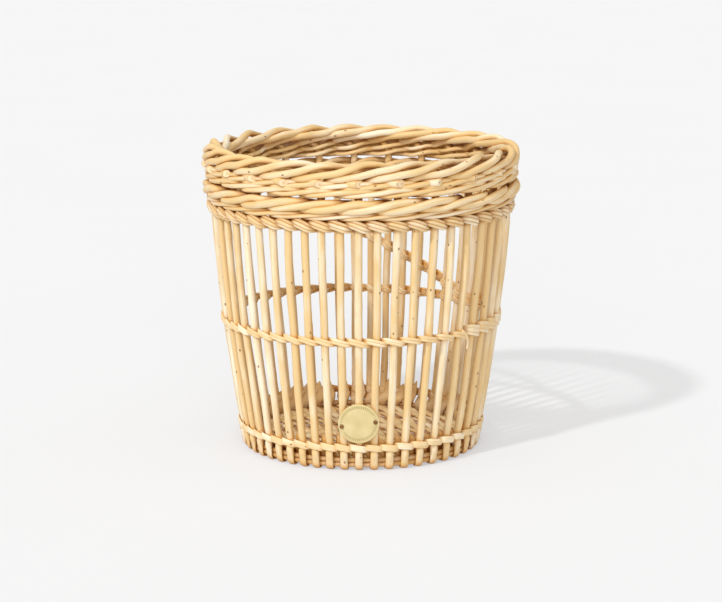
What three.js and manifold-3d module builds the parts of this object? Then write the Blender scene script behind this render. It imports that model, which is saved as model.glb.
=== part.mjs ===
// A round wastebasket of peeled willow, as an assembly of named pieces.
//
// Forty-eight round stakes stand in a ring. Each one thins to a tongue at the foot, bends in under a
// doubled foot ring, and comes back up inside as a short tail. Every other stake is a long upright that
// runs up into the rolled border; the stakes between end behind the upper rows. Rows of twined and
// waled willow hold the stakes, a flat woven base fills the foot, and a round tag is pinned in front.
//
// Millimetres, +Z up. The basket stands on z = 0 with its axis on Z, and the tag faces -Y.

import * as THREE from "three";
import { mergeVertices } from "three/addons/utils/BufferGeometryUtils.js";
import Module from "manifold-3d";

const wasm = await Module();
wasm.setup();

// ---------------------------------------------------------------------------------------------
// Driving dimensions
// ---------------------------------------------------------------------------------------------

const GAP = 0.3; // clearance between pieces that touch on the real basket
const STAKE_COUNT = 48;
const STAKE_HALF_THICKNESS = 3.1; // across the wall
const STAKE_HALF_WIDTH = 3.4; // along the wall
const STAKE_SIDES = 6;

// How far the stakes stand from even spacing, in degrees: a turn of the whole ring, then the cosine
// and sine parts of a drift with one wave round the ring and of a drift with two.
const RING_TURN = 2.46;
const STAKE_DRIFTS = [
  [-1.91, -1.11],
  [-1.52, -1.14],
];

// The wall: the circle that the stake centres stand on, from just above the foot to under the border.
const WALL_FOOT_Z = 14;
const WALL_TOP_Z = 249.7;
const WALL_STEPS = 5;
const WALL_FOOT_RADIUS = 104.8;
const WALL_TOP_RADIUS = 127.3;
const WALL_BELLY = 4.4; // how far the wall swells past a straight cone, most at two thirds of its height
const BELLY_PEAK = 4 / 27; // the greatest value of share ** 2 * (1 - share)
const SHORT_STAKE_TOP_Z = 221.7;

// The foot: two turns of one rod, held in the bend of the stakes.
const FOOT_RING_RADIUS = 100.2;
const FOOT_ROD_RADIUS = 2.1;
const FOOT_TURNS = 2;
const FOOT_PRESS = 0.1; // how far one turn sinks into the other
const TONGUE = 1.8; // thickness of a stake where it passes under the foot ring
const HEEL_THICKNESS = 2.9;
const SOLE_OVERHANG = 1.3;
const TAIL_THICKNESS = 2;
const TAIL_TIP_THICKNESS = 0.6;
const TAIL_GAP = 0.5; // between a tail and its own stake
const TAIL_START_Z = 14.6;
const TAIL_TIP_Z = 27;

const BASE_RADIUS = 94.8;
const BASE_BOTTOM_Z = 2.4;
const BASE_TOP_Z = 9;
const BASE_EDGE = 1.5;

// Twined rows: two flat strips that change places in every gap between stakes.
const LOWER_BINDING = { z: 20, halfHeight: 2.5, halfThickness: 0.6, lift: 1.6, tailRoom: 2.6 };
const MIDDLE_FITCH = { z: 113.6, halfHeight: 2.4, halfThickness: 1, lift: 1.9, tailRoom: 0 };
const UPPER_FITCH = { z: 212.2, halfHeight: 3, halfThickness: 1, lift: 2.2, tailRoom: 0 };
const CLIMB = { fromStake: 17, toStake: 30, topZ: 203.4 }; // the middle pair climbs here to the upper row
const QUARTER = 0.25; // strips turn a quarter of the way to the next stake, and lie flat across each stake

// Rows above the upper fitch, as rings with the outer shape of the woven rods.
const THIN_PAIR = { z: 220.1, halfHeight: 2.4, outerRadius: 134.3 };
const THICK_WALE = { z: 228, halfHeight: 5.2, outerRadius: 138.2 };
const THIN_WALES = { z: 239.3, halfHeight: 3.3, outerRadius: 134.9, rise: 6.4 };
const LOOP_RADIUS = 2; // of the unit loop that a strip is moulded from
const ROW_CLEARANCE = 0.6; // a ring of flat facets needs more room round the stakes than a true circle
const RING_SIDES = 6;
const FLATTEN = 1 / Math.cos(Math.PI / RING_SIDES); // puts the top and bottom flats at the full height

const BORDER = { z: 257.2, halfHeight: 6.8, innerRadius: 115.5, outerRadius: 135.4 };

const TAG_RADIUS = 17.2;
const TAG_THICKNESS = 1;
const TAG_Z = 43;
const TAG_TILT = THREE.MathUtils.degToRad(-8);
const TAG_HOLE_RADIUS = 1.1;
const TAG_HOLE_OFFSET = 14.2;
const TAG_HOLE_SIDES = 12;
const PIN_RADIUS = 0.6;
const PIN_LENGTH = 5;
const PIN_HEAD_RADIUS = 1.6;
const PIN_HEAD_HEIGHT = 0.6;
const PIN_SIDES = 8;
const PINNED_STAKES = [1, STAKE_COUNT - 1]; // the two beside the front stake

// ---------------------------------------------------------------------------------------------
// Materials
// ---------------------------------------------------------------------------------------------

const willow = (colour) => new THREE.MeshStandardMaterial({ color: colour, roughness: 0.55, metalness: 0 });
const uprightWillow = willow(0xdcb482);
const stakeWillow = willow(0xd4a873);
const stripWillow = willow(0xe2c08f);
const baseWillow = willow(0xd0a067);
const brass = new THREE.MeshStandardMaterial({ color: 0xd8c487, roughness: 0.4, metalness: 0.6 });

// ---------------------------------------------------------------------------------------------
// Shaping helpers
// ---------------------------------------------------------------------------------------------

// Moves every vertex of a closed geometry to place(vertex) and merges the seams.
function mould(geometry, place) {
  const shaped = geometry.clone();
  shaped.deleteAttribute("normal");
  shaped.deleteAttribute("uv");
  const position = shaped.getAttribute("position");
  const vertex = new THREE.Vector3();
  for (let i = 0; i < position.count; i++) {
    vertex.fromBufferAttribute(position, i);
    position.setXYZ(i, ...place(vertex).toArray());
  }
  return mergeVertices(shaped, 1e-3);
}

function solidOf(geometry) {
  const bare = geometry.clone();
  bare.deleteAttribute("normal");
  bare.deleteAttribute("uv");
  const merged = mergeVertices(bare, 1e-3);
  const vertProperties = merged.getAttribute("position").array;
  const triVerts = new Uint32Array(merged.index.array);
  return new wasm.Manifold(new wasm.Mesh({ numProp: 3, vertProperties, triVerts }));
}

function geometryOf(solid) {
  const { vertProperties, triVerts } = solid.getMesh();
  const geometry = new THREE.BufferGeometry();
  geometry.setAttribute("position", new THREE.BufferAttribute(vertProperties, 3));
  geometry.setIndex(new THREE.BufferAttribute(triVerts, 1));
  return geometry;
}

function join(geometries) {
  return geometryOf(geometries.map(solidOf).reduce((whole, piece) => whole.add(piece)));
}

function addPiece(parent, name, geometry, material) {
  const flat = geometry.index ? geometry.toNonIndexed() : geometry;
  flat.computeVertexNormals();
  const mesh = new THREE.Mesh(flat, material.clone());
  mesh.name = name;
  parent.add(mesh);
  return mesh;
}

// ---------------------------------------------------------------------------------------------
// The wall
// ---------------------------------------------------------------------------------------------

// The angle of a stake, or of a place between stakes, from the front (-Y) towards +X.
function stakeAngle(place) {
  const turn = (2 * Math.PI * place) / STAKE_COUNT;
  let drift = RING_TURN;
  STAKE_DRIFTS.forEach(([cosine, sine], i) => {
    drift += cosine * Math.cos((i + 1) * turn) + sine * Math.sin((i + 1) * turn);
  });
  return turn + THREE.MathUtils.degToRad(drift);
}

function onRing(radius, angle, z) {
  return new THREE.Vector3(radius * Math.sin(angle), -radius * Math.cos(angle), z);
}

const wallLevels = Array.from({ length: WALL_STEPS + 1 }, (_, i) => {
  const share = i / WALL_STEPS;
  const belly = (WALL_BELLY * share ** 2 * (1 - share)) / BELLY_PEAK;
  const radius = THREE.MathUtils.lerp(WALL_FOOT_RADIUS, WALL_TOP_RADIUS, share) + belly;
  return new THREE.Vector2(radius, THREE.MathUtils.lerp(WALL_FOOT_Z, WALL_TOP_Z, share));
});

// The radius of the stake centres at a height.
function wallRadius(z) {
  const above = wallLevels.findIndex((level) => level.y >= z);
  const i = above < 0 ? WALL_STEPS : Math.max(above, 1);
  const [low, high] = [wallLevels[i - 1], wallLevels[i]];
  return THREE.MathUtils.mapLinear(z, low.y, high.y, low.x, high.x);
}

// ---------------------------------------------------------------------------------------------
// Stakes
// ---------------------------------------------------------------------------------------------

// A stake is a rod of six sides, set out by pairs of points in its upright plane, as radius and height:
// the first on the face that ends up outside the bend at the foot, the second on the other face.
function stakeSections(topZ) {
  const heights = [topZ, ...wallLevels.map((level) => level.y).filter((z) => z < topZ).reverse()];
  const wall = heights.map((z) => [
    [wallRadius(z) + STAKE_HALF_THICKNESS, z],
    [wallRadius(z) - STAKE_HALF_THICKNESS, z],
  ]);
  const ringInside = FOOT_RING_RADIUS - FOOT_ROD_RADIUS - GAP;
  const ringOutside = FOOT_RING_RADIUS + FOOT_ROD_RADIUS + GAP;
  const ringTop = TONGUE + 2 * GAP + 2 * FOOT_TURNS * FOOT_ROD_RADIUS;
  const tailLow = wallRadius(WALL_FOOT_Z) - STAKE_HALF_THICKNESS - TAIL_GAP;
  const tailTop = wallRadius(TAIL_TIP_Z) - STAKE_HALF_THICKNESS - TAIL_GAP;
  const foot = [
    [[ringOutside + HEEL_THICKNESS, ringTop / 2], [ringOutside, ringTop / 2]],
    [[ringOutside + SOLE_OVERHANG, 0], [ringOutside, TONGUE]],
    [[ringInside - SOLE_OVERHANG, 0], [ringInside, TONGUE]],
    [[ringInside - TAIL_THICKNESS, ringTop], [ringInside, ringTop]],
    [[tailLow - TAIL_THICKNESS, TAIL_START_Z], [tailLow, TAIL_START_Z]],
    [[tailTop - TAIL_TIP_THICKNESS, TAIL_TIP_Z], [tailTop, TAIL_TIP_Z]],
  ];
  return [...wall, ...foot];
}

function stakeGeometry(topZ) {
  const sections = stakeSections(topZ);
  const rod = new THREE.CylinderGeometry(1, 1, 1, STAKE_SIDES, sections.length - 1);
  const sideReach = Math.cos(Math.PI / STAKE_SIDES); // how far the rod's flats stand from its middle
  return mould(rod, ({ x, y, z }) => {
    const section = Math.round((0.5 - y) * (sections.length - 1));
    const [[outerRadius, outerZ], [innerRadius, innerZ]] = sections[section];
    const across = (1 + x / sideReach) / 2;
    const radius = THREE.MathUtils.lerp(innerRadius, outerRadius, across);
    return new THREE.Vector3(-z * STAKE_HALF_WIDTH, -radius, THREE.MathUtils.lerp(innerZ, outerZ, across));
  });
}

// ---------------------------------------------------------------------------------------------
// Rows
// ---------------------------------------------------------------------------------------------

// One strip of a twined pair, at a place counted in stakes. Strip 0 passes outside the even stakes and
// inside the odd ones, strip 1 the other way; both drop to the right where they pass outside.
function stripPlace(row, strip, place, z, across, along) {
  const turn = Math.PI * (place + strip);
  const swing = STAKE_HALF_THICKNESS + GAP + row.halfThickness + row.tailRoom / 2;
  const out = swing * Math.SQRT2 * Math.cos(turn) - row.tailRoom / 2;
  const up = -row.lift * Math.SQRT2 * Math.sin(turn);
  const height = z + up + along * row.halfHeight;
  return onRing(wallRadius(height) + out + across * row.halfThickness, stakeAngle(place), height);
}

// A whole row: both strips go once round, with two steps to each stake.
function twinedRow(row) {
  const loop = new THREE.TorusGeometry(LOOP_RADIUS, 1, 4, 2 * STAKE_COUNT);
  const strips = [0, 1].map((strip) =>
    mould(loop, ({ x, y, z }) => {
      const place = (STAKE_COUNT * Math.atan2(y, x)) / (2 * Math.PI) + QUARTER;
      const section = Math.hypot(x, y) - LOOP_RADIUS;
      return stripPlace(row, strip, place, row.z, section - z, section + z);
    }),
  );
  return join(strips);
}

// The pair that leaves the middle row and climbs to the upper row.
function climbingPair(row) {
  const { fromStake, toStake, topZ } = CLIMB;
  const steps = 2 * (toStake - fromStake);
  const strip = new THREE.BoxGeometry(2, 2, 1, 1, 1, steps);
  return [0, 1].map((which) =>
    mould(strip, ({ x, y, z }) => {
      const place = fromStake + QUARTER + (0.5 + z) * (toStake - fromStake);
      const height = THREE.MathUtils.mapLinear(place, fromStake, toStake + QUARTER, row.z, topZ);
      return stripPlace(row, which, place, height, -x, y);
    }),
  );
}

// A ring with an oval section of six sides.
function ovalRing(innerRadius, outerRadius, z, halfHeight) {
  const halfWidth = (outerRadius - innerRadius) / 2;
  const ring = new THREE.TorusGeometry(innerRadius + halfWidth, halfWidth, RING_SIDES, STAKE_COUNT);
  return ring.scale(1, 1, (FLATTEN * halfHeight) / halfWidth).translate(0, 0, z);
}

// A ring that lies against the outside of the stakes.
function outerRing({ z, halfHeight, outerRadius }) {
  const innerRadius = wallRadius(z) + STAKE_HALF_THICKNESS + ROW_CLEARANCE;
  return ovalRing(innerRadius, outerRadius, z, halfHeight);
}

// Both turns of the foot rod, pressed together into one body.
function footRing() {
  const turns = Array.from({ length: FOOT_TURNS }, (_, i) => {
    const z = TONGUE + GAP + FOOT_ROD_RADIUS + i * (2 * FOOT_ROD_RADIUS - FOOT_PRESS);
    const [inside, outside] = [FOOT_RING_RADIUS - FOOT_ROD_RADIUS, FOOT_RING_RADIUS + FOOT_ROD_RADIUS];
    return ovalRing(inside, outside, z, FOOT_ROD_RADIUS);
  });
  return join(turns);
}

function basePanel() {
  const outline = [
    [0, BASE_BOTTOM_Z],
    [BASE_RADIUS - BASE_EDGE, BASE_BOTTOM_Z],
    [BASE_RADIUS, BASE_BOTTOM_Z + BASE_EDGE],
    [BASE_RADIUS, BASE_TOP_Z - BASE_EDGE],
    [BASE_RADIUS - BASE_EDGE, BASE_TOP_Z],
    [0, BASE_TOP_Z],
  ];
  const points = outline.map(([radius, z]) => new THREE.Vector2(radius, z));
  return new THREE.LatheGeometry(points, STAKE_COUNT).rotateX(Math.PI / 2);
}

// ---------------------------------------------------------------------------------------------
// Tag
// ---------------------------------------------------------------------------------------------

// The tag's frame: its back is on the front stake, it leans with the wall, and its right side is raised.
function tagFrame() {
  const lean = Math.atan2(wallRadius(TAG_Z + TAG_RADIUS) - wallRadius(TAG_Z - TAG_RADIUS), 2 * TAG_RADIUS);
  const turned = new THREE.Group();
  turned.rotation.z = stakeAngle(0);
  const tilted = new THREE.Group();
  tilted.position.set(0, -(wallRadius(TAG_Z) + STAKE_HALF_THICKNESS + 2 * GAP), TAG_Z);
  tilted.rotation.set(lean, TAG_TILT, 0);
  turned.add(tilted);
  return { turned, tilted };
}

function tagDisc() {
  const disc = new THREE.CylinderGeometry(TAG_RADIUS, TAG_RADIUS, TAG_THICKNESS, STAKE_COUNT);
  const holes = [-1, 1].map((side) => {
    const drill = [TAG_HOLE_RADIUS, TAG_HOLE_RADIUS, 3 * TAG_THICKNESS, TAG_HOLE_SIDES];
    return solidOf(new THREE.CylinderGeometry(...drill).translate(side * TAG_HOLE_OFFSET, 0, 0));
  });
  const pierced = holes.reduce((solid, hole) => solid.subtract(hole), solidOf(disc));
  return geometryOf(pierced).translate(0, -TAG_THICKNESS / 2, 0);
}

// A pin through the tag, with its head in front, grown by a clearance where it cuts its own hole.
function pinGeometry(side, clearance) {
  const front = -TAG_THICKNESS - GAP;
  const points = [
    [0, front - PIN_HEAD_HEIGHT],
    [PIN_HEAD_RADIUS, front - PIN_HEAD_HEIGHT / 2],
    [PIN_HEAD_RADIUS, front],
    [PIN_RADIUS + clearance, front],
    [PIN_RADIUS + clearance, front + PIN_LENGTH],
    [0, front + PIN_LENGTH + PIN_RADIUS + clearance],
  ].map(([radius, y]) => new THREE.Vector2(radius, y));
  return new THREE.LatheGeometry(points, PIN_SIDES).translate(side * TAG_HOLE_OFFSET, 0, 0);
}

// ---------------------------------------------------------------------------------------------
// Assembly
// ---------------------------------------------------------------------------------------------

const basket = new THREE.Group();
const { turned, tilted } = tagFrame();
basket.add(turned);
addPiece(tilted, "tag", tagDisc(), brass);
const pins = { tag_pin_left: -1, tag_pin_right: 1 };
for (const [name, side] of Object.entries(pins)) addPiece(tilted, name, pinGeometry(side, 0), brass);
basket.updateMatrixWorld(true);
const pinHoles = Object.values(pins).map((side) =>
  solidOf(pinGeometry(side, GAP).applyMatrix4(tilted.matrixWorld)),
);

const uprightGeometry = stakeGeometry(WALL_TOP_Z);
const shortGeometry = stakeGeometry(SHORT_STAKE_TOP_Z);
for (let i = 0; i < STAKE_COUNT; i++) {
  const upright = i % 2 === 0;
  const number = String(Math.floor(i / 2) + 1).padStart(2, "0");
  let geometry = (upright ? uprightGeometry : shortGeometry).clone().rotateZ(stakeAngle(i));
  if (PINNED_STAKES.includes(i)) {
    geometry = geometryOf(pinHoles.reduce((solid, hole) => solid.subtract(hole), solidOf(geometry)));
  }
  const name = (upright ? "upright_" : "short_stake_") + number;
  addPiece(basket, name, geometry, upright ? uprightWillow : stakeWillow);
}

addPiece(basket, "foot_ring", footRing(), stripWillow);
addPiece(basket, "base_panel", basePanel(), baseWillow);
addPiece(basket, "lower_binding", twinedRow(LOWER_BINDING), stripWillow);
addPiece(basket, "middle_fitch", join([twinedRow(MIDDLE_FITCH), ...climbingPair(MIDDLE_FITCH)]), stripWillow);
addPiece(basket, "upper_fitch", twinedRow(UPPER_FITCH), stripWillow);
addPiece(basket, "thin_pair_row", outerRing(THIN_PAIR), stripWillow);
addPiece(basket, "thick_wale", outerRing(THICK_WALE), stakeWillow);
const thinWales = [0, THIN_WALES.rise].map((rise) => outerRing({ ...THIN_WALES, z: THIN_WALES.z + rise }));
addPiece(basket, "thin_wales", join(thinWales), stripWillow);
const border = ovalRing(BORDER.innerRadius, BORDER.outerRadius, BORDER.z, BORDER.halfHeight);
addPiece(basket, "rolled_border", border, uprightWillow);

export default basket;
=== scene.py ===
"""The looks of a round wastebasket of peeled willow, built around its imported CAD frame.

Every rod, skein and weaver is a swept mesh that follows the CAD stakes and rows. Metres, +Z up,
with the basket standing on z = 0 and its tag facing -Y.
"""

import math

import bpy
import numpy as np
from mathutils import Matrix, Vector


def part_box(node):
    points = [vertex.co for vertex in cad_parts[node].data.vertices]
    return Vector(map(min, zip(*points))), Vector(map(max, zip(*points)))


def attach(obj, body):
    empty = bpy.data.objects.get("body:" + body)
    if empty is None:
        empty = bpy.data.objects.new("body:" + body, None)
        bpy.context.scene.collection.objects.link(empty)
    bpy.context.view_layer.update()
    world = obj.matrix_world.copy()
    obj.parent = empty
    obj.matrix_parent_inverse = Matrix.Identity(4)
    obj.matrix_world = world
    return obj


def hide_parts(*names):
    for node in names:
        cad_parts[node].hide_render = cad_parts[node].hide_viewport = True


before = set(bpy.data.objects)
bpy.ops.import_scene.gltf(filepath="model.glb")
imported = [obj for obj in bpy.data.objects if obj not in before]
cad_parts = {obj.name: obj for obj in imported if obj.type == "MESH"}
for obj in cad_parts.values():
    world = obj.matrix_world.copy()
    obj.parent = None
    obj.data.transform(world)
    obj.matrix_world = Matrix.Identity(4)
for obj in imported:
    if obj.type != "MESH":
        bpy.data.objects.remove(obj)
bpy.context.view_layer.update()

MM = 0.001
random = np.random.default_rng(48)

# ---------------------------------------------------------------------------------------------
# The frame's own measures
# ---------------------------------------------------------------------------------------------

STAKE_COUNT = 48
UPRIGHT_COUNT = STAKE_COUNT // 2
STAKE_HALF_DEPTH = 3.1 * MM
STAKE_HALF_WIDTH = 3.3 * MM
LEVEL_TOLERANCE = 0.1 * MM
WHOLE_SECTION = 1.8 * STAKE_HALF_DEPTH  # a level section at least this deep is all of the wall's
STAKES = [
    f"{kind}_{number:02d}"
    for number in range(1, UPRIGHT_COUNT + 1)
    for kind in ("upright", "short_stake")
]


def angle_of(node):
    """The angle of a CAD stake from the front (-Y) towards +X."""
    low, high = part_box(node)
    return math.atan2(low.x + high.x, -low.y - high.y)


def wall_cubic(node):
    """The wall's centre radius as a cubic in height, from the level sections of one CAD stake."""
    points = np.array([vertex.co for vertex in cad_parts[node].data.vertices])
    angle = angle_of(node)
    reach = points[:, 0] * math.sin(angle) - points[:, 1] * math.cos(angle)
    heights, radii = [], []
    for height in np.unique(points[:, 2].round(4)):
        level = reach[np.abs(points[:, 2] - height) < LEVEL_TOLERANCE]
        if np.ptp(level) > WHOLE_SECTION:
            heights.append(height)
            radii.append((level.min() + level.max()) / 2)
    return np.polyfit(heights, radii, 3)


def row_heights(node):
    """The middle height and half height of a CAD row."""
    low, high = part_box(node)
    return (low.z + high.z) / 2, (high.z - low.z) / 2


WALL = wall_cubic("upright_07")
stake_angles = np.unwrap([angle_of(node) for node in STAKES])
closed_angles = np.append(stake_angles, stake_angles[0] + 2 * math.pi)
RIM_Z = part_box("rolled_border")[1].z
FOOT_LOW, FOOT_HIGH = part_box("foot_ring")
FOOT_ROD_HALF = (FOOT_HIGH.z - FOOT_LOW.z) / 4  # two turns, one on the other
FOOT_RING_RADIUS = FOOT_HIGH.x - FOOT_ROD_HALF
BASE_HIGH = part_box("base_panel")[1]
BASE_RADIUS = BASE_HIGH.x
ROWS_LOW_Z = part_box("upper_fitch")[0].z
STAKE_SPACING = 2 * math.pi * np.polyval(WALL, RIM_Z / 2) / STAKE_COUNT


def angle_at(place):
    """The angle at a place counted in stakes, from the front stake."""
    turns, rest = np.divmod(place, STAKE_COUNT)
    return np.interp(rest, np.arange(STAKE_COUNT + 1), closed_angles) + 2 * math.pi * turns


def along_wall(place):
    """The level direction along the wall at a place counted in stakes."""
    angle = angle_at(place)
    return math.cos(angle), math.sin(angle), 0.0


def on_ring(radius, angle, z):
    """Points round the basket's axis."""
    parts = np.broadcast_arrays(radius * np.sin(angle), -radius * np.cos(angle), z)
    return np.stack(parts, axis=-1)


def on_wall(place, out, z):
    """Points at places along the wall, out from the line of the stake centres."""
    return on_ring(np.polyval(WALL, z) + out, angle_at(place), z)


# Painted shade on skin that lies deep among the rods: how strong, where the outer skin is, and the
# depth of full darkness.
ROWS_SHADE, ROWS_INSIDE_SHADE = 1.05, 0.1
ROWS_SKIN, ROWS_DEPTH = 7 * MM, 5 * MM
BORDER_CORE = (-1.0 * MM, RIM_Z - 10.5 * MM)  # out from the wall's line, and height
BORDER_SKIN, BORDER_INSIDE_SKIN, BORDER_DEPTH = 9.5 * MM, 7.5 * MM, 6.5 * MM
BORDER_BOTTOM = 9 * MM  # below the core
BORDER_INSIDE_SHADE = 0.3
STAKES_SHADE, STAKES_SKIN, STAKES_DEPTH = 0.1, 1.2 * MM, 3.5 * MM
FOOT_SHADE, FOOT_TURNED_SHADE = 0.1, 1.5
FOOT_SHADE_TOP_Z = 19 * MM


def rise(value, start, width):
    """0 up to a start, then up to 1 over a width."""
    return np.clip((value - start) / width, 0, 1)


def fall(value, end, width):
    """1, then down to 0 at an end over a width."""
    return np.clip((end - value) / width, 0, 1)


def painted_deep_shade(points, facing):
    """Painted shade on skin that lies deep among the rods: 1 in a crevice, more in a hole.

    facing says how far each point's rod surface turns outwards, from -1 to 1."""
    z = points[:, 2]
    radius = np.hypot(points[:, 0], points[:, 1])
    out = radius - np.polyval(WALL, z)
    turned_out = np.clip(0.5 * rise(out, -4 * MM, 4 * MM) + 1.5 * facing, 0, 1)

    # Painted shade in the rows' crevices, slight on faces turned inwards.
    outer = fall(out, ROWS_SKIN, ROWS_DEPTH)
    inner = ROWS_INSIDE_SHADE * rise(out, -5 * MM, 5 * MM)
    in_rows = rise(z, ROWS_LOW_Z, 4 * MM) * fall(z, BORDER_CORE[1], 5 * MM)
    rows = ROWS_SHADE * (turned_out * outer + (1 - turned_out) * inner) * in_rows

    # Painted shade round the rolled border's core, slight on its inside.
    from_core = np.hypot(out - BORDER_CORE[0], z - BORDER_CORE[1])
    outside = out > BORDER_CORE[0]
    border = fall(from_core, np.where(outside, BORDER_SKIN, BORDER_INSIDE_SKIN), BORDER_DEPTH)
    border *= rise(z, BORDER_CORE[1] - BORDER_BOTTOM, 3 * MM)
    border *= np.where(outside, 1.0, BORDER_INSIDE_SHADE)

    # Painted shade on the stakes' inner sides below the rows.
    stakes = STAKES_SHADE * fall(out, STAKES_SKIN, STAKES_DEPTH) * fall(z, ROWS_LOW_Z, 4 * MM)

    # Painted shade in the holes round the foot, deepest on faces turned outwards.
    foot = FOOT_SHADE + FOOT_TURNED_SHADE * turned_out
    foot *= fall(z, FOOT_SHADE_TOP_Z, 4 * MM) * fall(radius, FOOT_RING_RADIUS + MM, 1.5 * MM)
    foot *= radius > BASE_RADIUS - 4 * MM
    return np.maximum(rows + border, np.maximum(stakes, foot))


# ---------------------------------------------------------------------------------------------
# Sweeps
# ---------------------------------------------------------------------------------------------

# The rings of a cap: the share of the section, and how far out in half widths.
ROUND_END = ((0.93, 0.35), (0.72, 0.7), (0.38, 0.93), (0, 1))
CUT_END = ((0.985, 0.05), (0.9, 0.1), (0.86, 0.105), (0.42, 0.11), (0.22, 0.11), (0, 0.11))
WANDER_WAVES = 3
WANDER_PEAK = 1.7  # what that many unit waves usually add up to
EDGE_SHARPNESS = 5
GRAIN_REACH = 10  # how far apart rods may read their grain
TINY = 1e-9


def wander(distance, wavelength, amount):
    """A smooth random wander along a rod."""
    total = 0
    for _ in range(WANDER_WAVES):
        pitch = wavelength / random.uniform(0.6, 1.7)
        total = total + np.sin(2 * math.pi * (distance / pitch + random.uniform()))
    return amount * total / WANDER_PEAK


def distance_along(path):
    """How far along a path each of its points lies."""
    steps = np.linalg.norm(np.diff(path, axis=0), axis=1)
    return np.concatenate([[0], np.cumsum(steps)])


def matched(points, path):
    """How far along points lie, and how far along the same line a smooth path's points do."""
    controls, along = distance_along(points), distance_along(path)
    return controls, along / along[-1] * controls[-1]


def smooth_path(points, step, closed=False):
    """A smooth curve through points in space, with a point about every step."""
    points = np.asarray(points, float)
    if closed:
        points = np.vstack([points[-1], points, points[:2]])
    else:
        points = np.vstack([2 * points[0] - points[1], points, 2 * points[-1] - points[-2]])
    gaps = np.linalg.norm(np.diff(points, axis=0), axis=1)[:, None]
    slopes = np.diff(points, axis=0) / gaps
    tangents = (slopes[1:] * gaps[:-1] + slopes[:-1] * gaps[1:]) / (gaps[1:] + gaps[:-1])
    curve = []
    for i, (start, end) in enumerate(zip(points[1:-2], points[2:-1])):
        gap = gaps[i + 1]
        count = max(2, math.ceil(gap[0] / step))
        t = (np.arange(count) / count)[:, None]
        rest = 1 - t
        ends = rest**2 * (1 + 2 * t) * start + t**2 * (3 - 2 * t) * end
        curve.append(ends + gap * t * rest * (rest * tangents[i] - t * tangents[i + 1]))
    if not closed:
        curve.append(points[-2:-1])
    return np.vstack(curve)


def unit(vectors):
    """The vectors at length 1."""
    return vectors / np.linalg.norm(vectors, axis=-1, keepdims=True)


def tangents_along(path, closed):
    """The way a path runs at each of its points."""
    if closed:
        return unit(np.roll(path, -1, axis=0) - np.roll(path, 1, axis=0))
    return unit(np.gradient(path, axis=0))


def frames_along(path, side, closed=False):
    """Tangent, side and normal at each point. One side vector is carried along the rod without
    twist; a side for each point is kept."""
    tangent = tangents_along(path, closed)
    sides = np.array(side, float)
    if sides.ndim == 1:
        carried = sides
        sides = np.empty_like(path)
        for i, direction in enumerate(tangent):
            carried = unit(carried - carried @ direction * direction)
            sides[i] = carried
    else:
        sides = unit(sides - np.sum(sides * tangent, axis=1, keepdims=True) * tangent)
    return tangent, sides, np.cross(tangent, sides)


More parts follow.
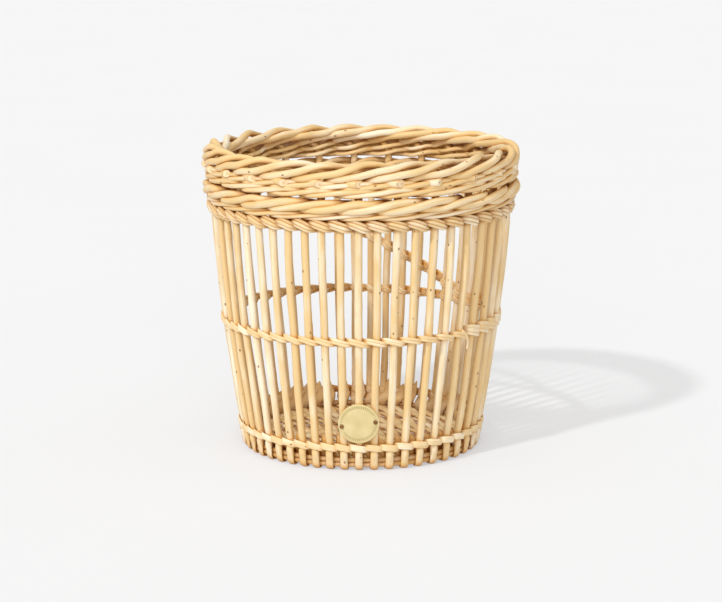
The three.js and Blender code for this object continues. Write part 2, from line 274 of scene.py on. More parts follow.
def sweep(path, half_width, half_depth, side, closed=False, ends=(ROUND_END, ROUND_END),
          corners=12, squareness=1.0, tint=0.0, shade=0.0, slant=0.0, edge_shade=0.0):
    """A rod or strip along a path: its points, grain, values that its material reads, and faces.

    Widths run along side. squareness below 1 makes the section boxier. ends are the two caps.
    slant turns the far cut outwards from the basket's middle. edge_shade darkens the two edges."""
    count = len(path)
    tangent, sides, normal = frames_along(path, side, closed)
    around = 2 * math.pi * np.arange(corners) / corners
    across = np.sign(np.cos(around)) * np.abs(np.cos(around)) ** squareness
    through = np.sign(np.sin(around)) * np.abs(np.sin(around)) ** squareness
    half_width = np.broadcast_to(half_width, count)
    half_depth = np.broadcast_to(half_depth, count)
    along = distance_along(path)
    tint = np.broadcast_to(tint, count)
    shade = np.broadcast_to(shade, count)
    edge_shade = np.broadcast_to(edge_shade, count)

    # A ring's point on the path, middle, share of the section, place along and whether it is cut.
    rings = [(i, path[i], 1.0, along[i], 0.0) for i in range(count)]
    if not closed:
        for cap, i, way in ((ends[0], 0, -1), (ends[1], count - 1, 1)):
            reach = way * min(half_width[i], half_depth[i])
            cut = 1.0 if cap is CUT_END else 0.0
            extra = [
                (i, path[i] + out * reach * tangent[i], share, along[i] + out * reach, cut)
                for share, out in cap
            ]
            rings = extra[::-1] + rings if way < 0 else rings + extra

    index, middle, share, place, cut = (np.array(column) for column in zip(*rings))
    wide = (share * half_width[index])[:, None, None] * across[None, :, None]
    deep = (share * half_depth[index])[:, None, None] * through[None, :, None]
    points = middle[:, None] + wide * sides[index][:, None] + deep * normal[index][:, None]
    if slant:
        last = index == count - 1
        outward = unit(path[-1] * (1, 1, 0))
        lean = (points[last] - middle[last][:, None]) @ outward
        points[last] -= slant * lean[..., None] * tangent[-1]
    offset = random.uniform(0, GRAIN_REACH, 3)
    grain = np.stack(
        [
            np.broadcast_to(place[:, None], points.shape[:2]) + offset[0],
            wide[..., 0] + offset[1],
            deep[..., 0] + offset[2],
        ],
        axis=-1,
    )
    spoke = points - middle[:, None]
    outward = unit(middle * (1, 1, 0) + (0, 0, TINY))
    facing = np.sum(spoke * outward[:, None], axis=-1) / (np.linalg.norm(spoke, axis=-1) + TINY)
    edge = edge_shade[index][:, None] * np.abs(across) ** EDGE_SHARPNESS
    values = {
        "tint": np.repeat(tint[index], corners),
        "shade": (shade[index][:, None] + edge).ravel(),
        "cut": np.repeat(cut, corners),
        "section": np.repeat(share, corners),
        "facing": facing.ravel(),
    }

    ring_count = len(rings)
    first, last = (0, ring_count) if closed else (1, ring_count - 1)
    rows = np.arange(first, last if closed else last - 1)
    nearer, further = rows * corners, ((rows + 1) % ring_count) * corners
    j = np.arange(corners)
    k = (j + 1) % corners
    quads = np.stack(
        [
            nearer[:, None] + j,
            nearer[:, None] + k,
            further[:, None] + k,
            further[:, None] + j,
        ],
        axis=-1,
    ).reshape(-1, 4)
    triangles = np.empty((0, 3), int)
    points, grain = points.reshape(-1, 3), grain.reshape(-1, 3)
    if not closed:
        tail = (ring_count - 1) * corners
        fans = [
            np.stack([np.zeros(corners, int), corners + k, corners + j], axis=-1),
            np.stack([np.full(corners, tail), tail - corners + j, tail - corners + k], axis=-1),
        ]
        triangles = np.vstack(fans)
    return points, grain, values, quads, triangles


def linked(name, data):
    """A new object in the scene."""
    made = bpy.data.objects.new(name, data)
    bpy.context.scene.collection.objects.link(made)
    return made


def piece(name, strands, material, replaced):
    """One mesh object from swept strands, on the basket's body and in place of its CAD nodes."""
    points, grains, faces = [], [], []
    values = {key: [] for key in ("tint", "shade", "cut", "section")}
    start = 0
    for strand_points, grain, strand_values, quads, triangles in strands:
        # Painted shade for lying deep among the rods, over the strand's own.
        deep = painted_deep_shade(strand_points, strand_values["facing"])
        strand_values["shade"] = np.maximum(strand_values["shade"], deep)
        used = np.unique(np.concatenate([quads.ravel(), triangles.ravel()]))
        place = np.full(len(strand_points), -1)
        place[used] = start + np.arange(len(used))
        points.append(strand_points[used])
        grains.append(grain[used])
        for key, parts in values.items():
            parts.append(strand_values[key][used])
        faces += place[quads].tolist() + place[triangles].tolist()
        start += len(used)
    mesh = bpy.data.meshes.new(name)
    mesh.from_pydata(np.vstack(points).tolist(), [], faces)
    mesh.shade_smooth()
    grain = mesh.attributes.new("grain", "FLOAT_VECTOR", "POINT")
    grain.data.foreach_set("vector", np.vstack(grains).astype(np.float32).ravel())
    for key, parts in values.items():
        attribute = mesh.attributes.new(key, "FLOAT", "POINT")
        attribute.data.foreach_set("value", np.concatenate(parts).astype(np.float32))
    mesh.materials.append(material)
    made = linked(name, mesh)
    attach(made, "root")
    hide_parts(*replaced)


# ---------------------------------------------------------------------------------------------
# Materials
# ---------------------------------------------------------------------------------------------


class Nodes:
    """Adds shader nodes and links to one material."""

    def __init__(self, name):
        self.material = bpy.data.materials.new(name)
        self.material.use_nodes = True
        self.tree = self.material.node_tree
        self.shader = self.tree.nodes["Principled BSDF"]

    def add(self, kind, settings=None, **inputs):
        """One node. Its inputs are named, or numbered as i0, i1 and so on."""
        node = self.tree.nodes.new("ShaderNode" + kind)
        for key, value in (settings or {}).items():
            setattr(node, key, value)
        for key, value in inputs.items():
            self.set(node, key, value)
        return node

    def set(self, node, key, value):
        place = int(key[1:]) if key[1:].isdigit() else key.replace("_", " ")
        socket = node.inputs[place]
        if isinstance(value, bpy.types.NodeSocket):
            self.tree.links.new(value, socket)
        else:
            socket.default_value = value

    def attribute(self, name, output="Fac"):
        return self.add("Attribute", {"attribute_name": name}).outputs[output]

    def maths(self, operation, a, b=0.0, clamp=False):
        node = self.add("Math", {"operation": operation, "use_clamp": clamp}, i0=a, i1=b)
        return node.outputs[0]

    def centred(self, noise, strength):
        """A noise taken about zero, times a strength."""
        return self.maths("MULTIPLY", self.maths("SUBTRACT", noise, 0.5), strength)

    def mix(self, share, a, b):
        node = self.add("Mix", {"data_type": "RGBA"}, i0=share, i6=a, i7=b)
        return node.outputs[2]

    def scaled(self, vector, scale):
        return self.add("VectorMath", {"operation": "MULTIPLY"}, i0=vector, i1=scale).outputs[0]

    def noise(self, vector, scale, detail=3.0):
        vector = self.scaled(vector, scale)
        return self.add("TexNoise", Vector=vector, Scale=1.0, Detail=detail).outputs["Fac"]

    def ramp(self, factor, stops):
        node = self.add("ValToRGB", Fac=factor)
        elements = node.color_ramp.elements
        while len(elements) < len(stops):
            elements.new(0.5)
        for element, (position, colour) in zip(elements, stops):
            element.position = position
            element.color = colour
        return node.outputs["Color"]


def srgb(red, green, blue):
    """A linear colour from 8-bit sRGB values."""
    linear = [((v / 255 + 0.055) / 1.055) ** 2.4 for v in (red, green, blue)]
    return (*linear, 1.0)


AMBER_SHADE = srgb(222, 170, 90)  # painted warm shade where rods crowd
# Painted shade: the colour of a crevice, and of a hole where the shade attribute runs past 1.
CREVICE_SHADE = srgb(146, 82, 20)
HOLE = srgb(78, 34, 8)
SPECK = srgb(112, 66, 30)
# Painted shade in the tag's grooves.
GROOVE = srgb(128, 98, 50)
PITH = (  # a cut end, from its middle to its skin
    (0.0, srgb(214, 178, 128)),
    (0.22, srgb(228, 198, 154)),
    (0.42, srgb(238, 216, 178)),
    (0.86, srgb(236, 211, 170)),
    (0.97, srgb(196, 150, 96)),
)

# Noise cells to the metre, along a rod and across it.
FINE_GRAIN = (55, 1500, 1500)
GRAIN_LINES = (12, 620, 620)
SLOW_CHANGES = (26, 95, 95)
SPECK_CELLS = (95, 150, 150)
SPECK_RADIUS = 0.125  # in cells
BARE_CELLS = 0.6  # the share of cells without a speck
MIDDLE_TONE = 0.92
# How far ambient occlusion looks for the painted amber shade, and how open skin must be to take
# none.
OPEN_DISTANCE = 8 * MM
OPEN_ENOUGH = 0.95


def willow(name, pale, tan, honey, streak, roughness=0.45):
    """Peeled willow: grain along the rod, slow golden changes, specks, pith at a cut end, and
    painted shade.
    """
    n = Nodes(name)
    grain = n.attribute("grain", "Vector")
    fine = n.noise(grain, FINE_GRAIN, 4.0)
    lines = n.noise(grain, GRAIN_LINES, 2.0)
    slow = n.noise(grain, SLOW_CHANGES)
    tone = n.maths("ADD", n.centred(fine, streak), n.centred(lines, 0.55))
    tone = n.maths("ADD", tone, n.centred(slow, 1.1))
    tone = n.maths("ADD", tone, n.maths("MULTIPLY", n.attribute("tint"), 0.16))
    tone = n.maths("ADD", tone, MIDDLE_TONE, clamp=True)
    colour = n.ramp(tone, [(0.0, pale), (0.5, tan), (1.0, honey)])

    cells = n.scaled(grain, SPECK_CELLS)
    specks = n.add("TexVoronoi", {"feature": "F1"}, Vector=cells, Scale=1.0)
    chosen = n.add("SeparateColor", Color=specks.outputs["Color"]).outputs[0]
    close = n.maths("LESS_THAN", specks.outputs["Distance"], SPECK_RADIUS)
    speck = n.maths("MULTIPLY", close, n.maths("GREATER_THAN", chosen, BARE_CELLS))
    colour = n.mix(n.maths("MULTIPLY", speck, 0.75), colour, SPECK)
    colour = n.mix(n.attribute("cut"), colour, n.ramp(n.attribute("section"), PITH))

    # Painted shade: skin that ambient occlusion finds closed in turns amber, then the shade
    # attribute darkens it towards the crevice colour and, past 1, the hole colour.
    openness = n.add("AmbientOcclusion", {"samples": 4}, Distance=OPEN_DISTANCE).outputs["AO"]
    crowded_shade = n.maths("SUBTRACT", OPEN_ENOUGH, openness, clamp=True)
    colour = n.mix(n.maths("MULTIPLY", crowded_shade, 1.5, clamp=True), colour, AMBER_SHADE)
    shade = n.attribute("shade")
    dark = n.mix(n.maths("SUBTRACT", shade, 1.0, clamp=True), CREVICE_SHADE, HOLE)
    n.set(n.shader, "Base_Color", n.mix(shade, colour, dark))

    n.set(n.shader, "Roughness", n.maths("ADD", n.centred(slow, 0.25), roughness))
    n.set(n.shader, "Specular_IOR_Level", 0.4)
    relief = n.maths("ADD", n.maths("MULTIPLY", fine, 0.5), lines)
    relief = n.maths("SUBTRACT", relief, n.maths("MULTIPLY", speck, 0.6))
    bump = n.add("Bump", Height=relief, Strength=0.35, Distance=0.25 * MM)
    n.set(n.shader, "Normal", bump.outputs[0])
    return n.material


def satin_brass(name, dull, plain, bright):
    """Thin brass with a faint brushed grain and soft blotches, and painted shade in its grooves."""
    n = Nodes(name)
    where = n.add("TexCoord").outputs["Object"]
    brushed = n.noise(where, (900, 900, 5200))
    blotch = n.noise(where, (90, 90, 90))
    tone = n.maths("ADD", n.maths("MULTIPLY", brushed, 0.35), n.maths("MULTIPLY", blotch, 0.65))
    colour = n.ramp(tone, [(0.25, dull), (0.55, plain), (0.8, bright)])
    # Painted shade in the grooves.
    colour = n.mix(n.maths("MULTIPLY", n.attribute("groove"), 0.8), colour, GROOVE)
    n.set(n.shader, "Base_Color", colour)
    n.set(n.shader, "Metallic", 0.35)
    n.set(n.shader, "Roughness", n.maths("ADD", n.maths("MULTIPLY", blotch, 0.2), 0.38))
    bump = n.add("Bump", Height=brushed, Strength=0.2, Distance=0.1 * MM)
    n.set(n.shader, "Normal", bump.outputs[0])
    return n.material


rod_willow = willow(
    "rod_willow", srgb(247, 240, 225), srgb(240, 229, 205), srgb(224, 193, 139), 0.55
)
strip_willow = willow(
    "strip_willow", srgb(248, 241, 225), srgb(243, 231, 205), srgb(227, 198, 148), 0.6, 0.5
)
base_willow = willow(
    "base_willow", srgb(251, 245, 226), srgb(247, 235, 203), srgb(232, 204, 150), 0.55, 0.55
)
brass = satin_brass("satin_brass", srgb(204, 184, 128), srgb(220, 203, 150), srgb(232, 218, 172))
dark_brass = satin_brass("dark_brass", srgb(104, 66, 30), srgb(128, 86, 42), srgb(160, 116, 64))

# ---------------------------------------------------------------------------------------------
# Stakes
# ---------------------------------------------------------------------------------------------

TAIL_LEAN, TAIL_LEAN_SPREAD = 0.5, 0.16  # how far a tail leans to the stake before, in stakes
TAIL_STRETCH = (0.84, 1.1)
TAIL_WIDTHS = (0.85, 1.2)
TAIL_TWIST = math.radians(22)  # turns each tail's edge over its neighbour's
WALL_START_Z = 18 * MM
WALL_SPACING = 14 * MM
SETTLE_HEIGHT = 50 * MM  # over which the sway and bow of the wall grow
SWAY = (0.16, 0.35 * MM)  # wavelength and amount
BOW = (0.2, 0.3 * MM)
SIZE_CHANGES = (0.12, 0.03)
TONE_CHANGES = (0.12, 0.45)
TONE_SPREAD = 0.8  # how much one rod's tone differs from the next
TAIL_TONE, TAIL_EDGE_DARK = 1.2, 0.55
KNOT_HALF = 3.5 * MM
STAKE_STEP = 3 * MM

# The foot of a stake, from the tail's tip round under the foot ring and up to the wall: how far
# out from the foot ring's circle, the height, half the depth and half the width, all in
# millimetres, and how much shade is painted on.
FOOT = (
    (0.6, 29.6, 0.35, 0.5, 0.0),
    (0.9, 26.8, 0.5, 2.0, 0.0),
    (0.8, 23.0, 0.7, 4.2, 0.0),
    (0.0, 18.2, 0.85, 6.6, 0.0),
    (-1.8, 13.8, 0.95, 6.4, 0.1),
    (-3.3, 10.2, 1.0, 4.6, 0.3),
    (-3.6, 6.0, 1.1, 3.5, 0.6),
    (-3.0, 2.6, 1.05, 3.3, 0.7),
    (-1.6, 1.15, 0.95, 3.3, 0.6),
    (0.0, 0.95, 0.9, 3.3, 0.9),
    (1.9, 1.15, 0.95, 3.3, 0.7),
    (3.3, 2.9, 1.25, 3.3, 0.25),
    (3.8, 6.0, 1.5, 3.3, 0.05),
    (4.1, 10.0, 2.2, 3.3, 0.05),
    (4.5, 14.0, 2.9, 3.3, 0.0),
)
TAIL_ROWS = 5

# An upright's run round the rim: uprights passed, and how far out from the wall's line and up
# from the rim's top, in millimetres.
BORDER_RUN = (
    (0.04, 0.3, -22.0),
    (0.12, 1.2, -17.5),
    (0.3, 3.4, -14.4),
    (0.6, 5.8, -12.8),
    (1.0, 6.6, -10.4),
    (1.5, 6.4, -7.4),
    (1.86, 4.8, -4.2),
    (2.18, 1.3, -2.0),
    (2.5, -3.0, -2.9),
    (2.85, -6.2, -4.9),
    (3.2, -7.4, -6.4),
    (3.6, -7.2, -8.0),
    (3.95, -5.0, -9.8),
    (4.3, -1.6, -12.4),
    (4.62, 2.2, -15.4),
    (4.86, 5.8, -16.6),
    (5.03, 7.6, -16.8),
)
RUN_SPREAD = 0.45  # in millimetres
RUN_START = 0.5  # uprights passed before a run starts to spread
BORDER_HALF = 3.05 * MM
BUTT_HALF = 3.35 * MM
BUTT_ROWS = 4
BUTT_SLANT = 0.9


def foot_points(place):
    """The middle line of a stake's foot, its tail leaning to one side."""
    lean = random.normal(TAIL_LEAN, TAIL_LEAN_SPREAD)
    stretch = random.uniform(*TAIL_STRETCH)
    tail_low, tail_high = FOOT[TAIL_ROWS][1], FOOT[0][1]
    points = []
    for i, (out, z, *_) in enumerate(FOOT):
        turned = 0.0
        if i < TAIL_ROWS:
            turned = lean * (z - tail_low) / (tail_high - tail_low)
            z = tail_low + stretch * (z - tail_low)
        points.append(on_ring(FOOT_RING_RADIUS + out * MM, angle_at(place - turned), z * MM))
    return points


def knots(along):
    """Small swellings where side shoots were trimmed."""
    swell = np.zeros_like(along)
    for centre in np.arange(random.uniform(0.05, 0.12), along[-1], random.uniform(0.09, 0.16)):
        swell += random.uniform(0.03, 0.09) * np.exp(-(((along - centre) / KNOT_HALF) ** 2))
    return swell


def stake(place, top_z, run=()):
    """One stake, from its tail's tip to the top of the wall, and round the rim if it has a run."""
    wall_z = np.arange(WALL_START_Z, top_z, WALL_SPACING)
    sway = wander(wall_z, *SWAY) / STAKE_SPACING
    bow = wander(wall_z, *BOW)
    settle = np.minimum(1, (wall_z - WALL_START_Z) / SETTLE_HEIGHT)
    points = foot_points(place) + list(on_wall(place + sway * settle, bow * settle, wall_z))
    half_depth = [row[2] * MM for row in FOOT] + [STAKE_HALF_DEPTH] * len(wall_z)
    half_width = [row[3] * MM for row in FOOT] + [STAKE_HALF_WIDTH] * len(wall_z)
    for passed, out, up in run:
        jitter = random.normal(0, RUN_SPREAD, 2) if passed > RUN_START else np.zeros(2)
        z = RIM_Z + (up + jitter[1]) * MM
        points.append(on_wall(place + 2 * passed, (out + jitter[0]) * MM, z))
        ease = min(1.0, passed)
        half_depth.append(STAKE_HALF_DEPTH + ease * (BORDER_HALF - STAKE_HALF_DEPTH))
        half_width.append(STAKE_HALF_WIDTH + ease * (BORDER_HALF - STAKE_HALF_WIDTH))
    if run:
        half_depth[-BUTT_ROWS:] = half_width[-BUTT_ROWS:] = [BUTT_HALF] * BUTT_ROWS
    half_width[:TAIL_ROWS] = np.array(half_width[:TAIL_ROWS]) * random.uniform(*TAIL_WIDTHS)
    past_foot = len(points) - len(FOOT)
    shade = [row[4] for row in FOOT] + [0.0] * past_foot
    tail = [1.0] * TAIL_ROWS + [0.0] * (len(points) - TAIL_ROWS)

    points = np.array(points)
    path = smooth_path(points, STAKE_STEP)
    controls, along = matched(points, path)
    grow = 1 + wander(along, *SIZE_CHANGES) + knots(along)
    in_tail = np.interp(along, controls, tail)
    _, level, outward = frames_along(path, along_wall(place))
    twist = TAIL_TWIST * in_tail[:, None]
    return sweep(
        path,
        np.interp(along, controls, half_width) * grow,
        np.interp(along, controls, half_depth) * grow,
        np.cos(twist) * level + np.sin(twist) * outward,
        ends=(ROUND_END, CUT_END if run else ROUND_END),
        slant=BUTT_SLANT if run else 0.0,
        edge_shade=TAIL_EDGE_DARK * in_tail,
        tint=random.normal(0, TONE_SPREAD) + wander(along, *TONE_CHANGES) + TAIL_TONE * in_tail,
        shade=np.interp(along, controls, shade),
    )


SHORT_TOP_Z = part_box("short_stake_01")[1].z
UPRIGHT_TOP_Z = RIM_Z - 26 * MM  # where the wall ends and the run round the rim starts

for i, node in enumerate(STAKES):
    if node.startswith("upright"):
        made = stake(i, UPRIGHT_TOP_Z, BORDER_RUN)
        piece("willow_" + node, [made], rod_willow, [node, "rolled_border"])
    else:
        piece("willow_" + node, [stake(i, SHORT_TOP_Z)], rod_willow, [node])

# ---------------------------------------------------------------------------------------------
# Foot and base
# ---------------------------------------------------------------------------------------------

COIL_TURNS = 2.02
COIL_POINTS = 400
COIL_START = 0.31  # in turns
COIL_CLIMB = 0.1  # the share of a turn in which the rod climbs onto itself
COIL_INSET = 0.2 * MM


def foot_coil():
    """Two turns of one rod, one above the other."""
    turn = np.linspace(0, COIL_TURNS, COIL_POINTS)
    climb = rise(turn % 1, 1 - COIL_CLIMB, COIL_CLIMB) + np.floor(turn)
    z = FOOT_LOW.z + FOOT_ROD_HALF * (1 + 2 * np.minimum(climb, 1.0))
    path = on_ring(FOOT_RING_RADIUS - COIL_INSET, 2 * math.pi * (turn + COIL_START), z)
    half = FOOT_ROD_HALF * (1 + wander(distance_along(path), 0.2, 0.03))
    # The whole coil takes some painted shade.
    return sweep(path, half, half, (0, 0, 1), tint=wander(turn, 0.2, 0.8), shade=0.4)


BASE_TURN = math.radians(-66)  # the weavers' direction from +X
STICK_SPACING = 31 * MM
STICK_HALF = 1.6 * MM
STICK_STEP = 6 * MM
STICK_MARGIN = 5 * MM
STICK_INSET = 2 * MM
WEAVE_LIFT = 0.85 * MM
WEAVE_STEEPNESS = 1.6
WEAVER_HALF = 3.3 * MM
WEAVER_HALF_DEPTH = 1.3 * MM
WEAVER_PITCH = 6.2 * MM
WEAVER_STEP = 2.6 * MM
WEAVER_INSET = 1 * MM
WEAVER_SQUEEZE = 0.3  # wider over a stick and narrower under it
WEAVER_WIDTHS = (0.92, 1.05)
WEAVE_Z = BASE_HIGH.z - 2.6 * MM
# Painted shade at the base's edge and over its width, and where a weaver dips under a stick.
EDGE_DARK, EDGE_WIDTH = 1.3, 6 * MM
UNDER_STICK_SHADE = 0.85


def turned_points(along, across, z):
    """Points in the base's own directions, along and across its weavers."""
    c, s = math.cos(BASE_TURN), math.sin(BASE_TURN)
    return np.stack(np.broadcast_arrays(along * c - across * s, along * s + across * c, z), axis=-1)


def base_sticks():
    """The sticks that the weavers pass over and under."""
    made = []
    count = int((BASE_RADIUS - STICK_MARGIN) / STICK_SPACING)
    for i in range(-count, count + 1):
        offset = i * STICK_SPACING
        reach = math.sqrt((BASE_RADIUS - STICK_INSET) ** 2 - offset**2)
        across = np.arange(-reach, reach, STICK_STEP)
        path = turned_points(offset + wander(across, 0.1, 0.4 * MM), across, WEAVE_Z)
        tint = random.normal(0.6, 0.5)
        # Painted shade on the sticks, which lie under the weavers.
        made.append(sweep(path, STICK_HALF, STICK_HALF, (0, 0, 1), tint=tint, shade=0.7))
    return made


def base_weavers():
    """Flat weavers side by side, each over the sticks that the next one passes under."""
    made = []
    count = int((BASE_RADIUS - WEAVER_HALF) / WEAVER_PITCH)
    for i in range(-count, count + 1):
        across = i * WEAVER_PITCH
        reach = math.sqrt((BASE_RADIUS - WEAVER_INSET) ** 2 - across**2)
        along = np.arange(-reach, reach, WEAVER_STEP)
        wave = np.cos(math.pi * (along / STICK_SPACING + i))
        lift = WEAVE_LIFT * np.tanh(WEAVE_STEEPNESS * wave) / math.tanh(WEAVE_STEEPNESS)
        drift = wander(along, 0.09, 0.25 * MM)
        path = turned_points(along, across + drift, WEAVE_Z + lift)
        half = WEAVER_HALF * (1 + WEAVER_SQUEEZE * wave) * random.uniform(*WEAVER_WIDTHS)
        # Painted shade towards the base's edge and under each stick; edge_shade paints shade along
        # each weaver's edges too.
        edge = EDGE_DARK * fall(BASE_RADIUS - np.hypot(along, across), EDGE_WIDTH, EDGE_WIDTH)
        shade = np.maximum(edge, UNDER_STICK_SHADE * np.clip(-wave, 0, 1) ** 3)
        tint = random.normal(0, TONE_SPREAD) + wander(along, 0.06, 0.5)
        side = turned_points(0.0, 1.0, 0.0)
        made.append(sweep(path, half, WEAVER_HALF_DEPTH, side, squareness=0.9,
                          tint=tint, shade=shade, edge_shade=0.8))
    return made


piece("foot_rod_coil", [foot_coil()], rod_willow, ["foot_ring"])
piece("base_sticks", base_sticks(), base_willow, ["base_panel"])
piece("base_weavers", base_weavers(), base_willow, ["base_panel"])

# ---------------------------------------------------------------------------------------------
# Twined rows
# ---------------------------------------------------------------------------------------------

# One stroke of a twined strand, outside one stake and inside the next: stakes passed, out in
# swings and up in lifts.
TWINE_STROKE = (
    (-0.68, 0.15, 0.95),
    (-0.4, 0.9, 0.8),
    (0.0, 1.05, 0.1),
    (0.34, 0.95, -0.65),
    (0.6, 0.25, -1.05),
    (0.82, -0.75, -0.85),
    (1.0, -1.0, 0.0),
    (1.16, -0.75, 0.75),
)
TWINE_STEP = 2.2 * MM
ROW_SPREAD = 0.16 * MM  # how much a strand's strokes differ in height
LIFTS = (0.85, 1.15)
STROKE_TONE_SPREAD, SKEIN_TONE_SPREAD = 0.7, 0.3
SKEIN_WIDTHS = (0.94, 1.03)
SKEIN_SPREAD = 0.86  # of their own height, between skeins
SKEIN_TUCK = 0.45 * MM


def twined_strand(span, heights, start, skeins, lift, swings, half_height, half_depth):
    """One strand of a twined row: flat skeins side by side, outside every other stake.

    heights are pairs of a place and the row's height there. swings are how far the strand passes
    outside and inside the line of the stake centres."""
    closed = span[1] - span[0] == STAKE_COUNT
    points, tones = [], []
    for lobe in range(int((span[1] - span[0]) / 2)):
        tone = random.normal(0, STROKE_TONE_SPREAD)
        height_jitter, lift_jitter = random.normal(0, ROW_SPREAD), random.uniform(*LIFTS)
        for passed, out, up in TWINE_STROKE:
            place = span[0] + start + 2 * lobe + passed
            reach = out * swings[0 if out > 0 else 1]
            row_z = np.interp(place % STAKE_COUNT if closed else place, *np.transpose(heights))
            points.append(on_wall(place, reach, row_z + lift * lift_jitter * up + height_jitter))
            tones.append(tone)
    points = np.array(points)
    middle = smooth_path(points, TWINE_STEP, closed)
    controls, share = matched(points, middle)
    along = distance_along(middle)
    tint = np.interp(share, controls, tones)

    radial = unit(middle * (1, 1, 0))
    out = np.hypot(middle[:, 0], middle[:, 1]) - np.polyval(WALL, middle[:, 2])
    openness = np.clip(np.abs(out) / swings[0], 0, 1)
    side = unit(np.cross(radial, tangents_along(middle, closed)))
    # Painted shade where the strand runs close to the stakes' line, crossing between and behind
    # them.
    shade = 0.9 * np.clip(0.7 - openness, 0, 1)
    fill = 0.6 + 0.4 * openness
    made = []
    for i in range(skeins):
        spread = 2 * i - (skeins - 1)
        offset = spread * half_height * SKEIN_SPREAD * fill
        tucked = SKEIN_TUCK * abs(spread) * np.sign(out)
        path = middle + offset[:, None] * side - tucked[:, None] * radial
        tone = tint + random.normal(0, SKEIN_TONE_SPREAD) + wander(along, 0.03, 0.25)
        width = half_height * (0.25 + 0.75 * fill) * random.uniform(*SKEIN_WIDTHS)
        made.append(sweep(path, width, half_depth, side, closed=closed, squareness=0.8,
                          tint=tone, shade=shade))
    return made


def twined_row(heights, *skein, span=(0, STAKE_COUNT)):
    """A pair of strands that take turns outside the stakes."""
    return [made for start in (0, 1) for made in twined_strand(span, heights, start, *skein)]


LOWER_Z, _ = row_heights("lower_binding")
UPPER_Z, _ = row_heights("upper_fitch")
MIDDLE_LOW, MIDDLE_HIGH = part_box("middle_fitch")
MIDDLE_HALF = 1.9 * MM
OVERLAP_DIP = 2.4 * MM  # how far the pairs part where they run one above the other
MIDDLE_Z = MIDDLE_LOW.z + MIDDLE_HALF + OVERLAP_DIP
CLIMB_TOP_Z = MIDDLE_HIGH.z - OVERLAP_DIP
OVERLAP_START, CLIMB_START, CLIMB_END = 7, 17, 29  # in stakes
SWING = STAKE_HALF_DEPTH + 1.0 * MM

middle_heights = [
    (0, MIDDLE_Z),
    (OVERLAP_START - 2, MIDDLE_Z),
    (OVERLAP_START + 2, MIDDLE_Z - OVERLAP_DIP),
    (CLIMB_START, MIDDLE_Z - OVERLAP_DIP),
    (CLIMB_START + 8, MIDDLE_Z),
    (STAKE_COUNT, MIDDLE_Z),
]
climb_heights = [
    (OVERLAP_START, MIDDLE_Z + OVERLAP_DIP),
    (CLIMB_START, MIDDLE_Z + OVERLAP_DIP),
    (CLIMB_END, CLIMB_TOP_Z),
]
climb_span = (OVERLAP_START, CLIMB_END)

# Skeins in a strand, its lift, its swings, and a skein's half height and half depth.
LOWER_SKEINS = (1, 1.1 * MM, (STAKE_HALF_DEPTH + 0.5 * MM, 4.6 * MM), 3.0 * MM, 0.7 * MM)
MIDDLE_SKEINS = (2, 1.9 * MM, (SWING, SWING), 1.4 * MM, 1.0 * MM)
CLIMB_SKEINS = (2, 1.7 * MM, (SWING, SWING), 1.8 * MM, 0.8 * MM)
UPPER_SKEINS = (3, 2.7 * MM, (SWING + 1.2 * MM, SWING), 1.5 * MM, 1.5 * MM)
lower_row = twined_row([(0, LOWER_Z)], *LOWER_SKEINS)
middle_row = twined_row(middle_heights, *MIDDLE_SKEINS)
climbing = twined_row(climb_heights, *CLIMB_SKEINS, span=climb_span)
upper_row = twined_row([(0, UPPER_Z)], *UPPER_SKEINS)

# The middle row's own end hangs loose before the seventh stake: places, and how far out from the
# wall's line and up from the row, in millimetres.
LOOSE_END = ((6.0, 3.6, 3.0), (6.3, 4.4, -1.5), (6.42, 4.6, -7.0), (6.4, 5.2, -13.0))
loose_path = smooth_path(
    [on_wall(place, out * MM, MIDDLE_Z + up * MM) for place, out, up in LOOSE_END], 2 * MM
)
middle_row.append(sweep(loose_path, 1.9 * MM, 0.8 * MM, along_wall(OVERLAP_START)))
piece("lower_binding_strips", lower_row, strip_willow, ["lower_binding"])
piece("middle_fitch_strips", middle_row, strip_willow, ["middle_fitch"])
piece("climbing_pair_strips", climbing, strip_willow, ["middle_fitch"])
piece("upper_fitch_strips", upper_row, strip_willow, ["upper_fitch"])

# ---------------------------------------------------------------------------------------------
# Wales
# ---------------------------------------------------------------------------------------------

# One stroke of a three-rod wale, in front of two uprights and behind the third: uprights passed,
# and how far out past the upright's face and up, both in rod radii.
WALE_STROKE = (
    (0.0, -1.0, 0.0),
    (0.28, -0.45, -0.9),
    (0.5, 0.35, -1.15),
    (0.75, 0.9, -1.1),
    (1.0, 1.05, -0.95),
    (1.5, 1.4, 0.0),
    (2.0, 1.05, 0.95),
    (2.3, 0.75, 1.15),
    (2.55, 0.25, 1.15),
    (2.78, -0.5, 0.8),
)
STROKE_UPRIGHTS = 3
WALE_STEP = 3.2 * MM
WALE_SIZES = (0.9, 1.1)
WALE_SPREAD = 0.09  # in rod radii
FACE_REACH = 1.35  # how soon a rod that swings out is past the upright's face


